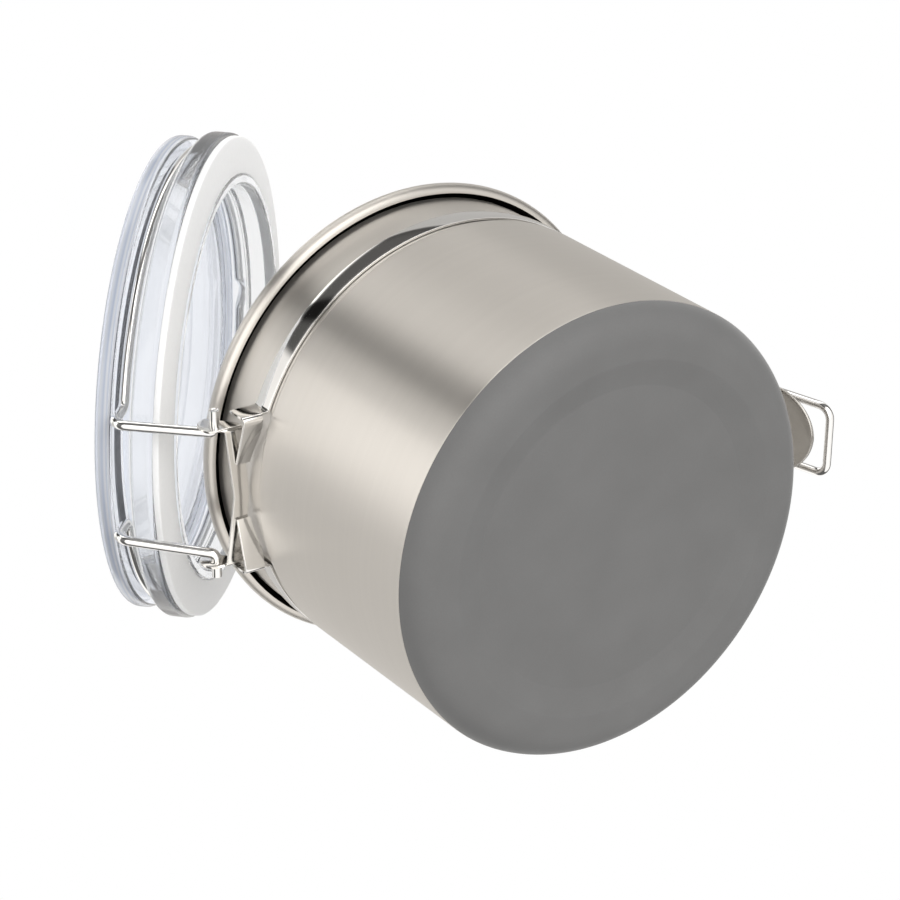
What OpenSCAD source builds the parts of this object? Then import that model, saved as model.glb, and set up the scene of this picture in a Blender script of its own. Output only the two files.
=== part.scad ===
// Clamp-lid canister: a steel jar with a grey base boot, and a clear lid
// that hangs on a wire bail and is held shut by a lever clasp.
// The origin is at the middle of the underside, +Z is up along the jar,
// the lid's hinge is at +Y and the clasp is at -Y. Lengths are millimetres.

/* [Jar] */
// Outside diameter of the jar's wall
body_d = 120; // [100:1:150]
// Height of the shoulder above the table
shoulder_z = 68; // [50:1:110]
// Height of the rim's top above the shoulder
neck_h = 24.7; // [24:0.1:34]
// How far the neck stands in from the wall
neck_step = 0.8; // [0.7:0.1:1.6]
// Height that the shoulder's slope takes
shoulder_h = 1.6; // [0.8:0.1:2.2]
// Thickness of the steel sheet
wall_t = 0.6; // [0.4:0.1:0.9]
// Outside radius of the rolled rim
curl_r = 2.1; // [1.8:0.1:2.6]

/* [Base boot] */
// Height of the boot's upper edge
boot_h = 6.3; // [5:0.1:8]
// Radius of the boot's rounded outer corner
boot_round = 8.8; // [8.4:0.1:12]
// How far the rounding's circle reaches outside the wall
boot_swell = 0.3; // [0.2:0.05:0.6]
// Thickness of the boot's skin where it meets the wall
boot_skin = 1.5; // [1:0.1:2.5]
// Thickness of the boot's floor under the jar
boot_floor = 1.3; // [1:0.1:3]
// Width of the flat ring that the boot stands on
foot_w = 4.4; // [2:0.1:8]
// Width of the slope from the ring up to the recess's flat
recess_slope = 7.1; // [1:0.1:16]
// Depth of the recess
recess_h = 2; // [1:0.1:3]

/* [Neck strap] */
// Width of the strap
strap_w = 5.7; // [5:0.1:7]
// Thickness of the strap's sheet
strap_t = 0.65; // [0.5:0.05:0.8]
// Gap between the shoulder's edge and the strap
strap_rise = 2.5; // [2.3:0.1:4]
// Half the distance over the strap's two turned-out ends
flange_x = 21.6; // [21.5:0.1:26]
// How far the turned-out ends reach past the jar's wall
flange_out = 3.6; // [3:0.1:4.4]
// Length of each hook that folds in under the hinge bracket
hook_l = 13.9; // [10:0.1:15]
// Width of the hooks
hook_w = 5.6; // [4.5:0.1:6]

/* [Hinge] */
// Distance of the hinge pin line outside the jar's wall
hinge_out = 6.9; // [6.5:0.1:9]
// Height of the hinge pin line above the strap's middle
hinge_rise = 5; // [4.6:0.1:6]
// Width over the bracket's two ears
ear_span = 38.3; // [36:0.1:38.4]
// Thickness of the bracket's sheet
ear_t = 0.65; // [0.5:0.05:0.8]
// Radius of the ears' round ends
ear_r = 4.3; // [3.6:0.1:4.6]
// How far the bracket sits to one side in its play
bracket_side = 1.5; // [0:0.1:1.6]
// Width of the bracket's web at its ends
web_w = 5; // [3:0.1:5]
// How far the web dips in towards the neck at its middle
web_dip = 2.4; // [0.5:0.1:2.4]

/* [Lid] */
// Angle that the lid stands open
lid_open = 44.5; // [0:0.5:120]
// How far the lid's top flange reaches outside the jar's wall
lid_out = 3.8; // [3.2:0.1:4.6]
// Thickness of the top flange
top_h = 4.3; // [3.4:0.1:8]
// Thickness of the lid's top plate over its hollow
plate_t = 3.9; // [2.5:0.1:6]
// How far the lower flange reaches outside the top flange
low_out = 1.7; // [0.2:0.1:2]
// Thickness of the lower flange
low_h = 6.1; // [4:0.1:8]
// Height of the groove that holds the bail
groove_h = 5.2; // [4.4:0.1:8]
// Depth of the groove, from the top flange's edge
groove_in = 4.5; // [4:0.1:5]
// Thickness of the lid's lip inside the seal
lid_t = 2.5; // [1.8:0.1:4]
// Radius of the flanges' edges
edge_r = 1.4; // [0.5:0.1:1.6]

/* [Seal] */
// Width of the silicone seal ring
seal_w = 10; // [8:0.1:10.6]
// Thickness of the seal at its outer edge
seal_h = 1.7; // [1:0.1:2.4]
// How much lower the seal's inner edge is than its outer edge
seal_drop = 1.4; // [0.8:0.1:2.4]
// How far the lid's lip reaches below the seal
lip_drop = 0.3; // [0:0.1:2]

/* [Bail] */
// Diameter of the bail's wire
bail_d = 2.6; // [2:0.1:3]
// Half the distance between the bail's legs where they leave the lid
leg_x = 16; // [14:0.1:16.4]
// How far the legs' bends stand outside the hinge pin line
leg_out = 2.1; // [1.5:0.1:4]
// How far the bail's ends stick out past the ears
stub_out = 4; // [1:0.1:5]
// Half width of the catch at the bail's front
catch_w = 5; // [4:0.1:6]
// How far the catch reaches out of the groove
catch_out = 5.6; // [4.5:0.1:7]

/* [Clasp] */
// Distance of the lever's pin outside the jar's wall
pivot_out = 8.5; // [7.6:0.1:10]
// Diameter of the lever's pin
pin_d = 2.4; // [2:0.1:2.8]
// Width of the lever at its top
lever_w = 14; // [13.6:0.1:14.4]
// Width of the lever's round end
paddle_w = 24; // [20:0.1:26]
// Length of the lever below its pin
lever_l = 54.5; // [50:0.1:58]
// Thickness of the lever's sheet
lever_t = 0.8; // [0.6:0.05:1]
// How far the lever's face stands outside its pin
face_out = 3.6; // [3.55:0.05:4]
// How far the lever's end flares outwards
flare = 6; // [2:0.1:7]
// Length of the flared part
flare_l = 28; // [24:0.1:32]
// Power of the flare's curve, where 1 is a straight slope
flare_power = 1.5; // [1.2:0.1:3]
// Length over which the lever widens into its round end
paddle_rise = 3.5; // [2:0.1:6]
// Length of the round end's straight sides
paddle_side = 0.5; // [0.1:0.1:4]
// Distance of the loop's pivot below the lever's pin
loop_drop = 13.6; // [12:0.1:14]
// Diameter of the loop's wire
loop_d = 2.2; // [1.8:0.1:2.3]
// Gap between the lever's cheeks and the loop's legs
loop_gap = 1.4; // [0.6:0.05:2]
// How far the loop's bar hangs below the lever's end
loop_past = 3.2; // [2.5:0.1:10]

/* [Hidden] */
$fn = 96;
ring_fn = 180;
wire_fn = 48;
// degrees between the points of a drawn arc, and points along the lever's face
arc_step = 12;
face_steps = 24;

// clearances: between fixed pieces, of a wire or pin in its hole, and between faces that move apart
fit = 0.05;
run = 0.05;
air = 0.3;
// overrun of the cuts
cut = 1;
// a wire's bends are this much thinner than its straight runs, which reach this far into them
seam = 0.01;
lap = 0.05;
// centre-line radii of the wires' bends, as shares of the wire's own radius
bail_wide = 2.3;
bail_tight = 1.2;
loop_wide = 3;
loop_tight = 1.3;
// radius of the pin's heads, as a share of the pin's own radius
head_share = 1.6;

steel = [0.72, 0.70, 0.67];
bright = [0.82, 0.82, 0.83];
grey = [0.46, 0.46, 0.45];
clear = [0.85, 0.89, 0.95, 0.4];
milky = [0.90, 0.90, 0.88, 0.8];

body_r = body_d / 2;
neck_r = body_r - neck_step;
rim_z = shoulder_z + neck_h;
curl_z = rim_z - curl_r;
curl_c = neck_r - wall_t + curl_r;
step_r = body_r - boot_skin;
floor_z = recess_h + boot_floor;
corner_r = boot_h - floor_z;
corner = [step_r - corner_r, boot_h];
round_x = body_r + boot_swell - boot_round;
foot_r = round_x - foot_w;
recess_r = foot_r - recess_slope;

strap_in = neck_r + fit;
strap_out = strap_in + strap_t;
strap_z = shoulder_z + strap_rise;
strap_mid = strap_z + strap_w / 2;
// how far the hooks' folds drop below the strap
fold_drop = 2 * strap_t;

hinge_y = body_r + hinge_out;
hinge_z = strap_mid + hinge_rise;
web_z = hinge_z - ear_r;
ear_out = ear_span / 2;
ear_in = ear_out - ear_t;

// the lid's heights, with the lid shut
top_r = body_r + lid_out;
low_r = top_r + low_out;
groove_r = top_r - groove_in;
seal_out = low_r - edge_r / 2;
seal_in = seal_out - seal_w;
seal_low = curl_z + (curl_r + air) / cos(atan(seal_drop / seal_w)) - seal_drop * (curl_c - seal_in) / seal_w;
seal_top = seal_low + seal_drop + seal_h;
low_z = seal_top + fit;
groove_z = low_z + low_h;
top_z = groove_z + groove_h;
lid_top = top_z + top_h;

bail_r = bail_d / 2;
bail_z = groove_z + groove_h / 2;
ring_r = groove_r + fit + bail_r;
bend_r = bail_wide * bail_r;
tight_r = bail_tight * bail_r;
// angle from the hinge at which each leg leaves the ring
leave_a = 20;
foot_x = ear_in - tight_r - fit;

lever_y = -(body_r + pivot_out);
pin_r = pin_d / 2;
loop_r = loop_d / 2;
cheek_in = lever_w / 2 - lever_t;
lug_r = strap_w / 2 - fit;
lug_t = lever_t;
lug_out = cheek_in - air;
head_r = head_share * pin_r;
head_t = lug_t / 2;
// the cheeks' heels rest on the jar's wall
heel = sqrt(body_r * body_r - cheek_in * cheek_in) + air + lever_y;
// the lever's end, from its round edge up to where it starts to widen
paddle_r = paddle_w / 2;
paddle_c = lever_l - paddle_r;
paddle_top = paddle_c - paddle_side;
paddle_from = paddle_top - paddle_rise;
flare_from = lever_l - flare_l;
function face_at(u) = face_out + flare * pow(max(u - flare_from, 0) / flare_l, flare_power);

// where the round end has become as narrow as the gap between the loop's legs
loop_x = lever_w / 2 + loop_gap + loop_r;
leg_in = loop_x - loop_r;
pass_u = paddle_c + sqrt(max(paddle_r * paddle_r - leg_in * leg_in, 0));
// the loop hangs so far out that its legs pass the face above the wide end, and clear the flare
leg_air = lever_t / 2 + loop_r + air;
loop_lean = max(atan((face_out + leg_air) / (paddle_from - loop_drop)),
    atan((face_at(pass_u) + leg_air) / (pass_u - loop_drop)));
loop_l = (lever_l + loop_past - loop_drop) / cos(loop_lean);

function arc(c, r, a0, a1) =
    let (n = ceil(abs(a1 - a0) / arc_step))
    [for (i = [0:n]) let (a = a0 + (a1 - a0) * i / n) c + r * [cos(a), sin(a)]];
function aside(p, side) = [side * p[0], p[1], p[2]];
function unit(v) = v / norm(v);
function span(a, b, n) = [for (i = [0:n]) a + (b - a) * i / n];

// how far a bend of centre-line radius b at point i starts before the corner
function trim(points, b, i) = b * tan(turn(points, i) / 2);
function turn(points, i) = acos(unit(points[i] - points[i - 1]) * unit(points[i + 1] - points[i]));

// a round wire along straight runs, with one bend radius for each inner point
module bent_wire(points, r, bends) {
    last = len(points) - 1;
    b = concat([0], bends, [0]);
    for (i = [0:last - 1]) {
        d = unit(points[i + 1] - points[i]);
        start = points[i] + d * (i == 0 ? 0 : trim(points, b[i], i) - lap);
        end = points[i + 1] - d * (i == last - 1 ? 0 : trim(points, b[i + 1], i + 1) - lap);
        x = unit(cross(abs(d[2]) < 0.9 ? [0, 0, 1] : [1, 0, 0], d));
        place(start, x, cross(d, x), d) cylinder(r = r, h = norm(end - start), $fn = wire_fn);
    }
    for (i = [1:last - 1]) {
        d = unit(points[i] - points[i - 1]);
        z = unit(cross(d, points[i + 1] - points[i]));
        x = cross(d, z);
        place(points[i] - d * trim(points, b[i], i) - x * b[i], x, d, z)
            rotate_extrude(angle = turn(points, i)) translate([b[i], 0]) circle(r = r - seam, $fn = wire_fn);
    }
}

module place(o, x, y, z)
    multmatrix([[x[0], y[0], z[0], o[0]], [x[1], y[1], z[1], o[1]], [x[2], y[2], z[2], o[2]], [0, 0, 0, 1]])
        children();

// a flat shape drawn across x, or across y, between two places
module plate_x(x0, x1)
    translate([x0, 0, 0]) rotate([90, 0, 90]) linear_extrude(x1 - x0) children();
module plate_y(y0, y1)
    translate([0, y1, 0]) rotate([90, 0, 0]) linear_extrude(y1 - y0) children();

// children as they are, and on the other side of the jar's middle plane
module both_sides() {
    children();
    mirror([1, 0, 0]) children();
}

// children in the lid's shut place, turned to where the lid stands
module lid_place()
    translate([0, hinge_y, hinge_z]) rotate([-lid_open, 0, 0]) translate([0, -hinge_y, -hinge_z]) children();

// lever coordinates: the origin is on the pin line, x is across, y is out and z is down
module lever_place()
    translate([0, lever_y, strap_mid]) rotate([180, 0, 0]) children();

module canister_body() {
    c = [curl_c, curl_z];
    sheet_z = wall_t / 2;
    step_z = boot_h + fit;
    outer = concat([[0, floor_z]], arc(corner, corner_r, -90, 0),
        [[step_r, step_z], [body_r, step_z], [body_r, shoulder_z], [neck_r, shoulder_z + shoulder_h]]);
    inner = concat([[neck_r - wall_t, shoulder_z + shoulder_h - sheet_z],
        [body_r - wall_t, shoulder_z - sheet_z], [body_r - wall_t, step_z + wall_t],
        [step_r - wall_t, step_z + wall_t]],
        arc(corner, corner_r - wall_t, 0, -90), [[0, floor_z + wall_t]]);
    color(steel) rotate_extrude($fn = ring_fn)
        polygon(concat(outer, arc(c, curl_r - wall_t, 180, -90), arc(c, curl_r, -90, 180), inner));
}

module base_boot() {
    lip_a = -asin((boot_round - boot_h) / boot_round);
    color(grey) rotate_extrude($fn = ring_fn)
        polygon(concat([[0, recess_h], [recess_r, recess_h], [foot_r, 0]],
            arc([round_x, boot_round], boot_round, -90, lip_a),
            arc(corner, corner_r + fit, 0, -90), [[0, floor_z - fit]]));
}

module neck_strap() {
    flange_in = flange_x - strap_t;
    flange_y = body_r + flange_out;
    seat_y = sqrt(strap_out * strap_out - flange_x * flange_x);
    tip_x = flange_x - hook_l;
    tip_z = web_z - fit;
    low = strap_z - fold_drop;
    color(bright) {
        difference() {
            translate([0, 0, strap_z]) cylinder(r = strap_out, h = strap_w, $fn = ring_fn);
            translate([0, 0, strap_z - cut]) cylinder(r = strap_in, h = strap_w + 2 * cut, $fn = ring_fn);
            translate([-flange_in, 0, strap_z - cut]) cube([2 * flange_in, strap_out + cut, strap_w + 2 * cut]);
        }
        both_sides() {
            translate([flange_in, seat_y - strap_t / 2, strap_z])
                cube([strap_t, flange_y - seat_y + strap_t / 2, strap_w]);
            difference() {
                plate_y(flange_y - hook_w, flange_y)
                    polygon([[flange_x, strap_z + strap_t], [flange_x, low + strap_t], [flange_in, low],
                        [tip_x, tip_z - strap_t], [tip_x, tip_z], [flange_in - strap_t, low + strap_t],
                        [flange_in, low + 2 * strap_t], [flange_in, strap_z + strap_t]]);
                translate([0, 0, low - cut]) cylinder(r = strap_out, h = strap_w + 2 * cut, $fn = ring_fn);
            }
        }
    }
}

module hinge_bracket() {
    out_y = hinge_y - ear_t;
    in_y = out_y - web_w;
    mid_in = max(in_y - web_dip, neck_r + air);
    color(bright) translate([bracket_side, 0, 0]) {
        translate([0, 0, web_z]) linear_extrude(ear_t)
            polygon([[-ear_out, in_y], [0, mid_in], [ear_out, in_y], [ear_out, out_y],
                [0, out_y - web_dip], [-ear_out, out_y]]);
        both_sides() difference() {
            plate_x(ear_in, ear_out) {
                translate([hinge_y, hinge_z]) circle(r = ear_r);
                polygon([[in_y, web_z], [hinge_y, web_z], [hinge_y, web_z + 2 * ear_r], [in_y, web_z + ear_r / 2]]);
            }
            translate([ear_in - cut, hinge_y, hinge_z]) rotate([0, 90, 0])
                cylinder(r = bail_r + run, h = ear_t + 2 * cut, $fn = wire_fn);
        }
    }
}

module clasp_bracket() {
    seat_r = strap_out + fit;
    root_y = seat_r * cos(asin(lug_out / seat_r)) + lug_t / 4;
    color(bright) difference() {
        union() {
            intersection() {
                translate([0, 0, strap_mid - lug_r]) difference() {
                    cylinder(r = seat_r + lug_t, h = 2 * lug_r, $fn = ring_fn);
                    translate([0, 0, -cut]) cylinder(r = seat_r, h = 2 * (lug_r + cut), $fn = ring_fn);
                }
                translate([-lug_out, -body_d, 0]) cube([2 * lug_out, body_d, rim_z]);
            }
            both_sides() plate_x(lug_out - lug_t, lug_out) {
                translate([lever_y, strap_mid]) circle(r = lug_r);
                translate([lever_y, strap_mid - lug_r]) square([-lever_y - root_y, 2 * lug_r]);
            }
        }
        translate([-lug_out - cut, lever_y, strap_mid]) rotate([0, 90, 0])
            cylinder(r = pin_r + run, h = 2 * (lug_out + cut), $fn = wire_fn);
    }
}

module clasp_pin() {
    head_x = lever_w / 2 + run;
    color(bright) translate([0, lever_y, strap_mid]) rotate([0, 90, 0]) {
        cylinder(r = pin_r, h = 2 * head_x, center = true, $fn = wire_fn);
        for (side = [-1, 1]) translate([0, 0, side * (head_x + head_t / 2)])
            cylinder(r = head_r, h = head_t, center = true, $fn = wire_fn);
    }
}

module clasp_lever() {
    // the cheeks reach up to their round tops, and the face only to the pin, so that it swings over the lugs
    top = -lug_r;
    face = [for (u = span(0, lever_l, face_steps)) [face_at(u), u]];
    half = [lever_t / 2, 0];
    color(steel) lever_place() difference() {
        union() {
            intersection() {
                plate_x(-paddle_w, paddle_w)
                    polygon(concat([for (p = face) p - half], [for (i = [len(face) - 1:-1:0]) face[i] + half]));
                plate_y(0, body_d) {
                    polygon([[-lever_w / 2, 0], [lever_w / 2, 0], [lever_w / 2, paddle_from],
                        [paddle_r, paddle_top], [paddle_r, paddle_c], [-paddle_r, paddle_c],
                        [-paddle_r, paddle_top], [-lever_w / 2, paddle_from]]);
                    intersection() {
                        translate([0, paddle_c]) circle(r = paddle_r);
                        translate([-paddle_w, paddle_c - paddle_side]) square([2 * paddle_w, paddle_w]);
                    }
                }
            }
            both_sides() plate_x(cheek_in, lever_w / 2) {
                circle(r = lug_r);
                polygon([[0, top], [face_out, 0], [face_out, loop_drop * 2], [heel, loop_drop + pin_d],
                    [heel, loop_drop - pin_d], [top, 0]]);
            }
        }
        translate([-lever_w, 0, 0]) rotate([0, 90, 0]) cylinder(r = pin_r + run, h = 2 * lever_w, $fn = wire_fn);
        translate([-lever_w, 0, loop_drop]) rotate([0, 90, 0])
            cylinder(r = loop_r + run, h = 2 * lever_w, $fn = wire_fn);
    }
}

module clasp_loop() {
    tight = loop_tight * loop_r;
    wide = loop_wide * loop_r;
    stub_x = cheek_in - lever_t;
    color(bright) lever_place() translate([0, 0, loop_drop]) rotate([-loop_lean, 0, 0])
        bent_wire([[stub_x, 0, 0], [loop_x, 0, 0], [loop_x, 0, loop_l], [-loop_x, 0, loop_l],
            [-loop_x, 0, 0], [-stub_x, 0, 0]], loop_r, [tight, wide, wide, tight]);
}

module lid_cap() {
    lip_r = seal_in - fit;
    lip_z = seal_low - lip_drop;
    color(clear) lid_place() rotate_extrude($fn = ring_fn) difference() {
        union() {
            rounded(low_r, low_z, groove_z);
            rounded(top_r, top_z, lid_top);
            translate([0, low_z + edge_r]) square([groove_r, lid_top - low_z - 2 * edge_r]);
            translate([0, lip_z]) square([lip_r, low_z - lip_z + edge_r]);
        }
        translate([0, lip_z - cut]) square([lip_r - lid_t, lid_top - plate_t - lip_z + cut]);
    }
}

// a flange's outline, with its outer corners rounded
module rounded(r, z0, z1)
    polygon(concat([[0, z0]], arc([r - edge_r, z0 + edge_r], edge_r, -90, 0),
        arc([r - edge_r, z1 - edge_r], edge_r, 0, 90), [[0, z1]]));

module lid_seal() {
    color(milky) lid_place() rotate_extrude($fn = ring_fn)
        polygon([[seal_in, seal_low], [seal_out, seal_low + seal_drop], [seal_out, seal_top], [seal_in, seal_top]]);
}

module lid_bail() {
    front_a = asin((catch_w + bend_r) / ring_r);
    in = [cos(front_a), sin(front_a), 0];
    front = [catch_w + bend_r, -ring_r * cos(front_a), bail_z];
    knee = front - in * bend_r / cos(front_a);
    start = front + in * lap;
    back = [ring_r * sin(leave_a), ring_r * cos(leave_a), bail_z];
    off = [-cos(leave_a), sin(leave_a), 0];
    turn_in = back + off * (back[0] - leg_x) / cos(leave_a);
    color(bright) lid_place() {
        for (side = [-1, 1]) {
            foot = foot_x + side * bracket_side;
            end = ear_out + side * bracket_side + stub_out;
            rotate([0, 0, side > 0 ? -90 + front_a : 90 + leave_a]) translate([0, 0, bail_z])
                rotate_extrude(angle = 180 - front_a - leave_a, $fn = ring_fn)
                    translate([ring_r, 0]) circle(r = bail_r - seam, $fn = wire_fn);
            bent_wire([aside(back - lap * off, side), aside(turn_in, side), [side * leg_x, hinge_y + leg_out, bail_z],
                [side * foot, hinge_y, hinge_z], [side * end, hinge_y, hinge_z]],
                bail_r, [bend_r, bend_r, tight_r]);
        }
        bent_wire([start, knee, [0, -ring_r - catch_out, bail_z], aside(knee, -1), aside(start, -1)],
            bail_r, [tight_r, tight_r, tight_r]);
    }
}

canister_body();
base_boot();
neck_strap();
hinge_bracket();
clasp_bracket();
clasp_pin();
clasp_lever();
clasp_loop();
lid_cap();
lid_seal();
lid_bail();
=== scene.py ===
import bpy
import bmesh
import numpy as np
from mathutils import Matrix, Vector


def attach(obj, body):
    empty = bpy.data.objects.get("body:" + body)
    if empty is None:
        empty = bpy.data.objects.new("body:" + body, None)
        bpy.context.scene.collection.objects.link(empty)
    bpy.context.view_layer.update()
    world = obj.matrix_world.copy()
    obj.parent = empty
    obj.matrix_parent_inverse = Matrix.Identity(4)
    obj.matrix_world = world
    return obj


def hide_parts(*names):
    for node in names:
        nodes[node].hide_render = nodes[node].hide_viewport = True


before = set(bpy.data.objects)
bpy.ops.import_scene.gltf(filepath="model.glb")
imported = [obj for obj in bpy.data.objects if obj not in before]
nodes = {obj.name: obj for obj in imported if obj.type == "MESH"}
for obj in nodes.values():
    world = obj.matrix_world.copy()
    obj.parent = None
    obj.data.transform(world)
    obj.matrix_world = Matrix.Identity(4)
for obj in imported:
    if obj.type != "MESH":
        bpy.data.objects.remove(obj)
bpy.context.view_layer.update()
print("frame loaded:", len(nodes), "nodes")

mm = 0.001

# the photo's camera, solved from the circles of the rim, the strap, the base and the foot
view = {
    "place": (-0.3565, 0.4356, -0.5499),
    "right": (-0.0145, -0.8228, -0.5682),
    "down": (0.9032, 0.2330, -0.3604),
    "lens": 129.2,
    "sensor": 36.0,
}


def makeCamera():
    right = Vector(view["right"]).normalized()
    up = -Vector(view["down"])
    back = right.cross(up).normalized()
    up = back.cross(right)
    data = bpy.data.cameras.new("photoCamera")
    data.lens = view["lens"]
    data.sensor_width = view["sensor"]
    data.sensor_fit = "HORIZONTAL"
    data.clip_start = 0.01
    camera = bpy.data.objects.new("photoCamera", data)
    turn = Matrix((right, up, back)).transposed().to_4x4()
    camera.matrix_world = Matrix.Translation(view["place"]) @ turn
    bpy.context.scene.collection.objects.link(camera)
    bpy.context.scene.camera = camera
    print("camera placed")


# mesh makers: each shape is worked out as whole numpy arrays, in millimetres

# A surface through an m by n grid of points, with quads between neighbours and a UV map of the two lengths.
def meshFromGrid(name, points, u, v, closeU=False, closeV=False, sharp=35.0):
    m, n = points.shape[:2]
    rows = np.arange(m if closeU else m - 1)
    cols = np.arange(n if closeV else n - 1)
    i, j = [a.ravel() for a in np.meshgrid(rows, cols, indexing="ij")]
    i2, j2 = (i + 1) % m, (j + 1) % n
    quads = np.stack([i * n + j, i2 * n + j, i2 * n + j2, i * n + j2], 1)
    uv = np.stack([np.stack([u[i], u[i + 1], u[i + 1], u[i]], 1), np.stack([v[j], v[j], v[j + 1], v[j + 1]], 1)], 2)
    mesh = bpy.data.meshes.new(name)
    mesh.vertices.add(m * n)
    mesh.vertices.foreach_set("co", (points * mm).astype(np.float32).ravel())
    mesh.loops.add(quads.size)
    mesh.loops.foreach_set("vertex_index", quads.astype(np.int32).ravel())
    mesh.polygons.add(len(quads))
    mesh.polygons.foreach_set("loop_start", np.arange(0, quads.size, 4, dtype=np.int32))
    mesh.update(calc_edges=True)
    layer = mesh.uv_layers.new(name="surface")
    layer.data.foreach_set("uv", uv.astype(np.float32).ravel())
    return finishMesh(name, [mesh], sharp)


# Joins meshes into one piece, merges their seams and poles, and smooths all but the sharp edges.
def finishMesh(name, meshes, sharp=35.0):
    whole = bmesh.new()
    for mesh in meshes:
        whole.from_mesh(mesh)
    bmesh.ops.remove_doubles(whole, verts=whole.verts, dist=1e-7)
    bmesh.ops.dissolve_degenerate(whole, edges=whole.edges, dist=1e-8)
    result = bpy.data.meshes.new(name)
    whole.to_mesh(result)
    whole.free()
    result.polygons.foreach_set("use_smooth", np.ones(len(result.polygons), bool))
    result.set_sharp_from_angle(angle=np.radians(sharp))
    piece = bpy.data.objects.new(name, result)
    bpy.context.scene.collection.objects.link(piece)
    return piece


def joinPieces(name, pieces, sharp=35.0):
    whole = finishMesh(name, [p.data for p in pieces], sharp)
    for p in pieces:
        bpy.data.objects.remove(p)
    return whole


# Points and rows of points as one array.
def stack(*parts):
    return np.concatenate([np.atleast_2d(np.asarray(p, float)) for p in parts])


def unit(v):
    return v / np.linalg.norm(v, axis=-1, keepdims=True)


# How far along a path each of its points is.
def lengths(path):
    return np.concatenate([[0], np.cumsum(np.linalg.norm(np.diff(path, axis=0), axis=1))])


# A path through corners, each rounded by an arc of its own radius about a centre at radius / cos(turn / 2) from
# the corner, on the line that halves its angle.
def rounded(corners, radii, step=7.0, closed=False):
    p = np.asarray(corners, float)
    n = len(p)
    inner = range(n) if closed else range(1, n - 1)
    parts = [] if closed else [p[:1]]
    for k in inner:
        before, after = unit(p[k - 1] - p[k]), unit(p[(k + 1) % n] - p[k])
        turn = np.pi - np.arccos(np.clip(before @ after, -1, 1))
        if radii[k] <= 0 or turn < 1e-4:
            parts.append(p[k:k + 1])
            continue
        half = unit(before + after)
        centre = p[k] + half * radii[k] / np.cos(turn / 2)
        a = np.linspace(-turn / 2, turn / 2, max(2, int(np.degrees(turn) / step)) + 1)[:, None]
        side = unit(after - before)
        parts.append(centre + radii[k] * (side * np.sin(a) - half * np.cos(a)))
    return stack(*parts) if closed else stack(*parts, p[-1:])


# The same path with points added so that no straight run is longer than the gap.
def spaced(path, gap):
    count = np.maximum(1, np.ceil(np.linalg.norm(np.diff(path, axis=0), axis=1) / gap)).astype(int)
    start = np.repeat(np.arange(len(count)), count)
    share = (np.arange(count.sum()) - np.repeat(np.cumsum(count) - count, count)) / np.repeat(count, count)
    return np.vstack([path[start] + (path[start + 1] - path[start]) * share[:, None], path[-1:]])


# A profile of (radius, height) turned about Z: x = r cos a, y = r sin a. The material is on the profile's left.
def lathe(name, profile, turns=256, gap=2.5, closed=False, sharp=35.0):
    if closed:
        profile = np.vstack([profile, profile[:1]])
    profile = spaced(profile, gap)
    a = np.linspace(0, 2 * np.pi, turns + 1)
    r, z = profile[None, :, 0], profile[None, :, 1]
    points = np.stack([r * np.cos(a[:-1, None]), r * np.sin(a[:-1, None]), z + 0 * a[:-1, None]], 2)
    return meshFromGrid(name, points, a / (2 * np.pi), lengths(profile) * mm * 10, closeU=True, sharp=sharp)


# The way a path runs at each point: halfway between the ways to its two neighbours.
def tangents(path):
    ahead = np.roll(path, -1, 0) - path
    behind = path - np.roll(path, 1, 0)
    ahead[-1], behind[0] = behind[-1], ahead[0]
    return unit(unit(ahead) + unit(behind))


# A round wire: path + r (x cos b + y sin b), where x and y are square to the path. Its ends are rounded by a quarter
# circle that is the given share of the radius.
def tube(name, path, radius, aside=(0, 0.93, 0.37), sides=28, gap=1.6, ends=0.35):
    path = spaced(path, gap)
    t = tangents(path)
    x = unit(np.cross(t, np.asarray(aside, float)))
    y = np.cross(t, x)
    a = np.linspace(0, np.pi / 2, 5)
    inset, size = ends * radius * (1 - np.sin(a)), radius * (1 - ends * (1 - np.cos(a)))
    path = np.vstack([path[:1], path[0] + t[0] * (ends * radius - inset[::-1, None]), path[1:-1],
                      path[-1] - t[-1] * (ends * radius - inset[:, None]), path[-1:]])
    nearest = np.concatenate([[0] * 6, np.arange(1, len(t) - 1), [len(t) - 1] * 6])
    r = np.concatenate([[0], size[::-1], np.full(len(t) - 2, radius), size, [0]])
    b = np.linspace(0, 2 * np.pi, sides + 1)
    ring = np.cos(b[None, :-1, None]) * x[nearest][:, None] + np.sin(b[None, :-1, None]) * y[nearest][:, None]
    points = path[:, None] + ring * r[:, None, None]
    return meshFromGrid(name, points, lengths(path) * mm * 10, b / (2 * np.pi), closeV=True, sharp=60)


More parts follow.
